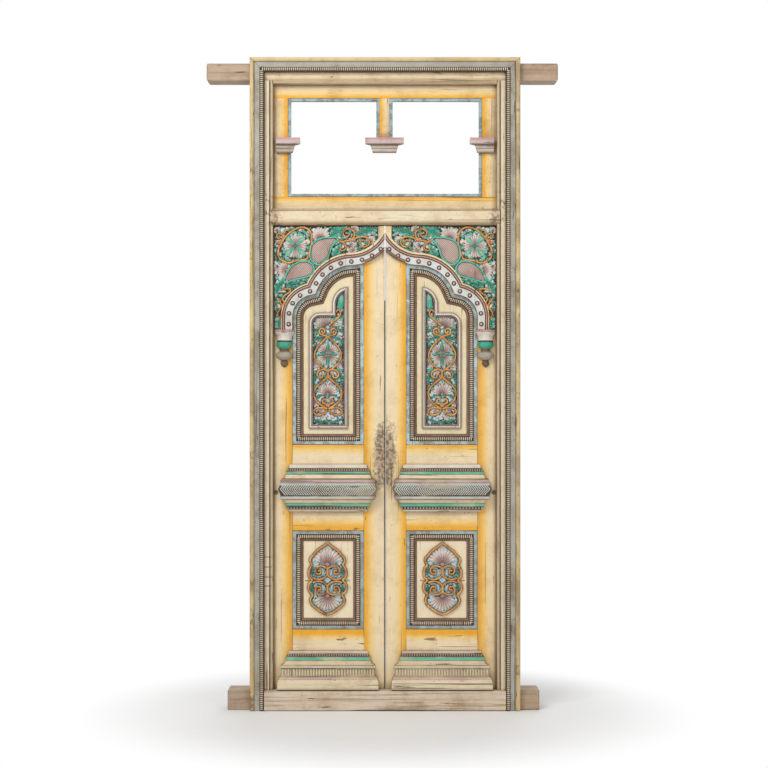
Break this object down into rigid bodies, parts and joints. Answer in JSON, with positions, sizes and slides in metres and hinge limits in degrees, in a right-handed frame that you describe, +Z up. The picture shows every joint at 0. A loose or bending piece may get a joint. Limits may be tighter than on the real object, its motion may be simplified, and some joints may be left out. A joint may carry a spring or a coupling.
{
  "type": "carved double door with frame",
  "caption": "Antique two-leaf wooden door in its frame, with a cusped ogee arch, carved spandrels and panels, moulded waist cornices, plinths and an open light above.",
  "frame": {"origin": "on the underside of the sill, on the line where the leaves meet, at the front plane of the jamb posts", "axes": "+X to the viewer's right along the wall, +Y away from the viewer through the doorway, +Z up; the carved front faces -Y"},
  "size_m": [1.406, 0.1385, 2.608],
  "materials": {
    "bare_wood": "weathered bare timber with traces of old paint",
    "cream_paint": "worn cream distemper with orange shading at the edges",
    "grey_blue_paint": "worn grey-blue paint",
    "brown_paint": "dark brown paint over blue-grey",
    "pink_paint": "faded pink and white paint",
    "carved_colours": "carving picked out in orange, teal and pink",
    "gilt_paint": "worn yellow-orange paint"
  },
  "bodies": {
    "frame": {"sill": "bare_wood", "lintel": "bare_wood", "left_jamb": "cream_paint", "right_jamb": "cream_paint", "transom_bar": "cream_paint", "light_top_rail": "cream_paint", "light_bottom_rail": "cream_paint", "light_left_stile": "cream_paint", "light_right_stile": "cream_paint", "light_mullion": "cream_paint", "left_architrave": "grey_blue_paint", "right_architrave": "grey_blue_paint", "head_architrave": "grey_blue_paint", "light_beads": "grey_blue_paint", "left_bracket": "pink_paint", "middle_bracket": "pink_paint", "right_bracket": "pink_paint"},
    "left_leaf": {"left_hanging_stile": "cream_paint", "left_meeting_stile": "cream_paint", "left_top_rail": "cream_paint", "left_lock_rail": "cream_paint", "left_bottom_rail": "cream_paint", "left_upper_panel": "cream_paint", "left_lower_panel": "cream_paint", "left_upper_moulding": "brown_paint", "left_lower_moulding": "brown_paint", "left_inner_frame": "pink_paint", "left_upper_carving": "carved_colours", "left_cartouche": "carved_colours", "left_spandrel": "carved_colours", "left_arch_band": "grey_blue_paint", "left_arch_studs": "gilt_paint", "left_pendant": "pink_paint", "left_waist_cornice": "cream_paint", "left_plinth": "cream_paint"},
    "right_leaf": {"right_hanging_stile": "cream_paint", "right_meeting_stile": "cream_paint", "right_top_rail": "cream_paint", "right_lock_rail": "cream_paint", "right_bottom_rail": "cream_paint", "right_upper_panel": "cream_paint", "right_lower_panel": "cream_paint", "right_upper_moulding": "brown_paint", "right_lower_moulding": "brown_paint", "right_inner_frame": "pink_paint", "right_upper_carving": "carved_colours", "right_cartouche": "carved_colours", "right_spandrel": "carved_colours", "right_arch_band": "grey_blue_paint", "right_arch_studs": "gilt_paint", "right_pendant": "pink_paint", "right_waist_cornice": "cream_paint", "right_plinth": "cream_paint"}
  },
  "joints": [
    {"name": "left_leaf_swing", "type": "hinge", "parent": "frame", "child": "left_leaf", "pos_m": [-0.439, 0.051, 0], "axis": [0, 0, 1], "range_deg": [0, 90]},
    {"name": "right_leaf_swing", "type": "hinge", "parent": "frame", "child": "right_leaf", "pos_m": [0.439, 0.051, 0], "axis": [0, 0, -1], "range_deg": [0, 90]}
  ]
}
